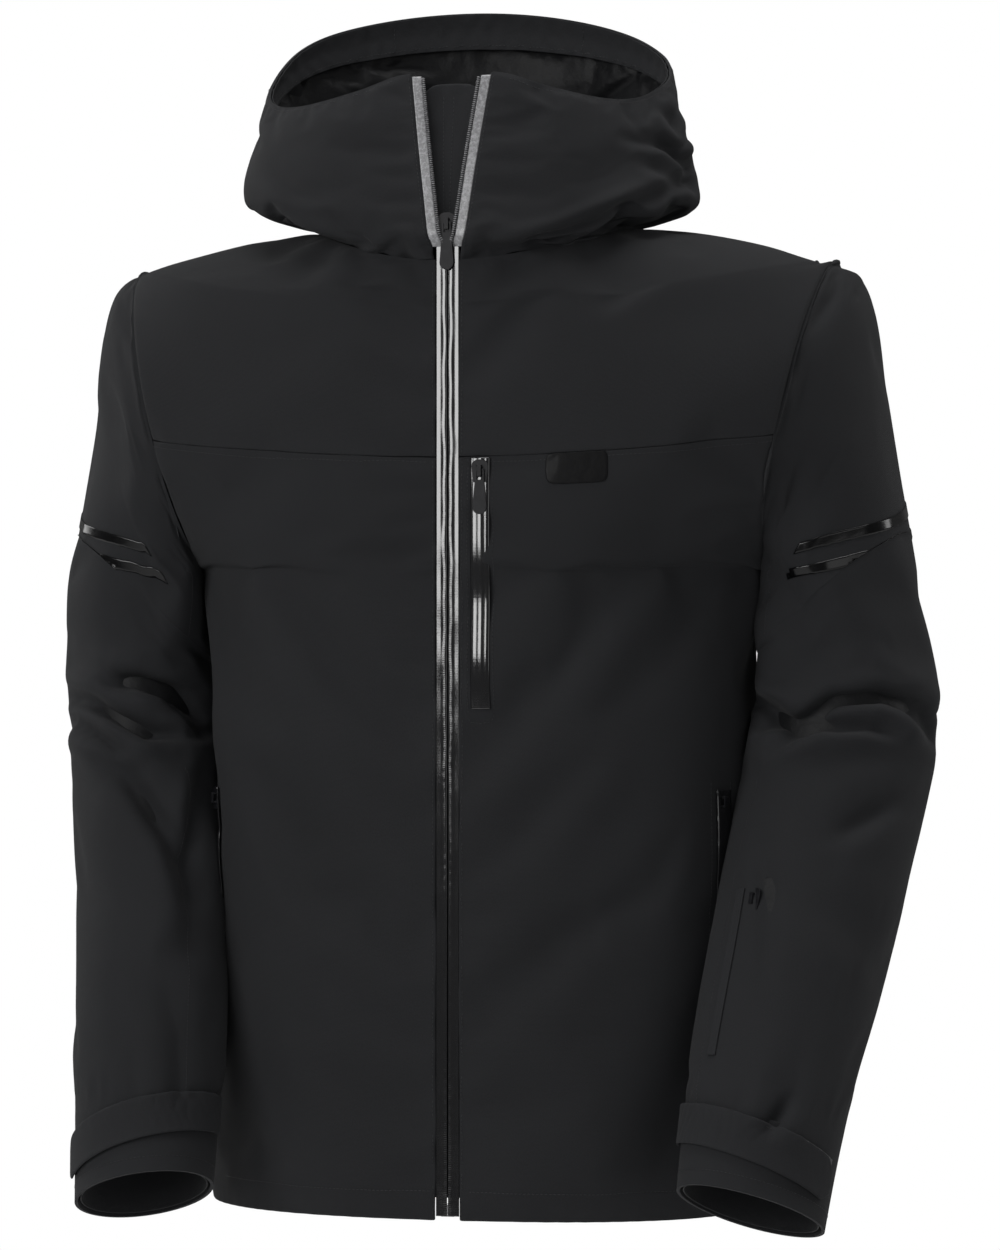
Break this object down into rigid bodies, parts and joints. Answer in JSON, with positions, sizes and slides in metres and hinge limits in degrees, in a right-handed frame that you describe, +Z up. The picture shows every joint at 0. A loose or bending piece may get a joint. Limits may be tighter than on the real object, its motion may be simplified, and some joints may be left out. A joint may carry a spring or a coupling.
{
  "type": "ski jacket",
  "caption": "Insulated ski jacket with standing hood, sliding zips, bending sleeves, fold-back hood and peeling cuff tabs, hung from its neck loop.",
  "frame": {"origin": "under the bow of the hang loop inside the back of the neck, where a hook carries the jacket", "axes": "+Z up, the front of the jacket faces -Y, +X is the wearer's left"},
  "size_m": [0.644, 0.3179, 0.8899],
  "materials": {
    "shell_fabric": "matte water-repellent fine twill, near black",
    "lining_fabric": "smooth black satin taffeta",
    "trim_fabric": "black woven trim",
    "zip_tape": "glossy black water-resistant film",
    "zip_metal": "dark gunmetal finish",
    "bare_metal": "pale bare metal",
    "hook_loop": "black hook-and-loop pile"
  },
  "bodies": {
    "jacket_body": {"front_panel_left": "shell_fabric", "front_panel_right": "shell_fabric", "front_yoke_left": "shell_fabric", "front_yoke_right": "shell_fabric", "back_panel": "shell_fabric", "back_yoke": "shell_fabric", "collar_left": "shell_fabric", "collar_right": "shell_fabric", "front_lining_left": "lining_fabric", "front_lining_right": "lining_fabric", "back_lining": "lining_fabric", "snow_skirt": "lining_fabric", "chest_pocket_bag": "lining_fabric", "hand_pocket_bag_left": "lining_fabric", "hand_pocket_bag_right": "lining_fabric", "hem_facing": "trim_fabric", "storm_flap": "trim_fabric", "main_zip_coil_left": "trim_fabric", "main_zip_coil_right": "trim_fabric", "hang_loop": "trim_fabric", "main_zip_tape_left": "zip_tape", "main_zip_tape_right": "zip_tape", "chest_zip_tape": "zip_tape", "hand_zip_tape_left": "zip_tape", "hand_zip_tape_right": "zip_tape", "chest_badge": "zip_tape", "main_zip_box": "bare_metal"},
    "main_slider": {"main_zip_slider": "zip_metal"},
    "main_puller": {"main_zip_puller": "zip_metal"},
    "chest_slider": {"chest_zip_slider": "zip_metal"},
    "chest_puller": {"chest_zip_puller": "zip_metal"},
    "hand_slider_left": {"hand_zip_left_slider": "zip_metal"},
    "hand_slider_right": {"hand_zip_right_slider": "zip_metal"},
    "pass_slider": {"pass_zip_slider": "zip_metal"},
    "hood": {"hood_shell": "shell_fabric", "hood_lining": "lining_fabric", "hood_brim": "trim_fabric", "hood_zip_tape_left": "zip_tape", "hood_zip_tape_right": "zip_tape", "chin_guard": "shell_fabric"},
    "upper_arm_left": {"upper_sleeve_left": "shell_fabric", "sleeve_lining_left": "lining_fabric", "stripe_upper_left": "zip_tape", "stripe_lower_left": "zip_tape"},
    "lower_arm_left": {"forearm_left": "shell_fabric", "forearm_lining_left": "lining_fabric", "cuff_facing_left": "trim_fabric", "cuff_patch_left": "hook_loop", "pass_zip_tape": "zip_tape", "pass_pocket_bag": "lining_fabric"},
    "tab_left": {"cuff_tab_left": "shell_fabric"},
    "upper_arm_right": {"upper_sleeve_right": "shell_fabric", "sleeve_lining_right": "lining_fabric", "stripe_upper_right": "zip_tape", "stripe_lower_right": "zip_tape"},
    "lower_arm_right": {"forearm_right": "shell_fabric", "forearm_lining_right": "lining_fabric", "cuff_facing_right": "trim_fabric", "cuff_patch_right": "hook_loop"},
    "tab_right": {"cuff_tab_right": "shell_fabric"}
  },
  "joints": [
    {"name": "main_zip_slide", "type": "slide", "parent": "jacket_body", "child": "main_slider", "axis": [0, 0, -1], "range_m": [0, 0.676]},
    {"name": "main_puller_swing", "type": "hinge", "parent": "main_slider", "child": "main_puller", "pos_m": [0, -0.19145, -0.0268], "axis": [-1, 0, 0], "range_deg": [0, 120]},
    {"name": "chest_zip_slide", "type": "slide", "parent": "jacket_body", "child": "chest_slider", "axis": [0, 0, -1], "range_m": [0, 0.157]},
    {"name": "chest_puller_swing", "type": "hinge", "parent": "chest_slider", "child": "chest_puller", "pos_m": [0.024, -0.1937, -0.1998], "axis": [-1, 0, 0], "range_deg": [0, 120]},
    {"name": "hand_zip_left_slide", "type": "slide", "parent": "jacket_body", "child": "hand_slider_left", "axis": [0, 0, -1], "range_m": [0, 0.173]},
    {"name": "hand_zip_right_slide", "type": "slide", "parent": "jacket_body", "child": "hand_slider_right", "axis": [0, 0, -1], "range_m": [0, 0.173]},
    {"name": "hood_fold_back", "type": "hinge", "parent": "jacket_body", "child": "hood", "pos_m": [0, 0.025, -0.0065], "axis": [-1, 0, 0], "range_deg": [0, 55]},
    {"name": "shoulder_left", "type": "hinge", "parent": "jacket_body", "child": "upper_arm_left", "pos_m": [0.256, -0.057, -0.0485], "axis": [0, -1, 0], "range_deg": [0, 60]},
    {"name": "shoulder_right", "type": "hinge", "parent": "jacket_body", "child": "upper_arm_right", "pos_m": [-0.256, -0.057, -0.0485], "axis": [0, 1, 0], "range_deg": [0, 60]},
    {"name": "elbow_left", "type": "hinge", "parent": "upper_arm_left", "child": "lower_arm_left", "pos_m": [0.266, -0.12179, -0.33991], "axis": [-1, 0, 0], "range_deg": [0, 60]},
    {"name": "elbow_right", "type": "hinge", "parent": "upper_arm_right", "child": "lower_arm_right", "pos_m": [-0.266, -0.12179, -0.33991], "axis": [-1, 0, 0], "range_deg": [0, 60]},
    {"name": "cuff_tab_left_peel", "type": "hinge", "parent": "lower_arm_left", "child": "tab_left", "pos_m": [0.18064, -0.18807, -0.66447], "axis": [-0.082, -0.3859, -0.9189], "range_deg": [0, 80]},
    {"name": "cuff_tab_right_peel", "type": "hinge", "parent": "lower_arm_right", "child": "tab_right", "pos_m": [-0.18064, -0.18807, -0.66447], "axis": [-0.082, 0.3859, 0.9189], "range_deg": [0, 80]},
    {"name": "pass_zip_slide", "type": "slide", "parent": "lower_arm_left", "child": "pass_slider", "axis": [-0.088, -0.3561, -0.9303], "range_m": [0, 0.106]}
  ]
}
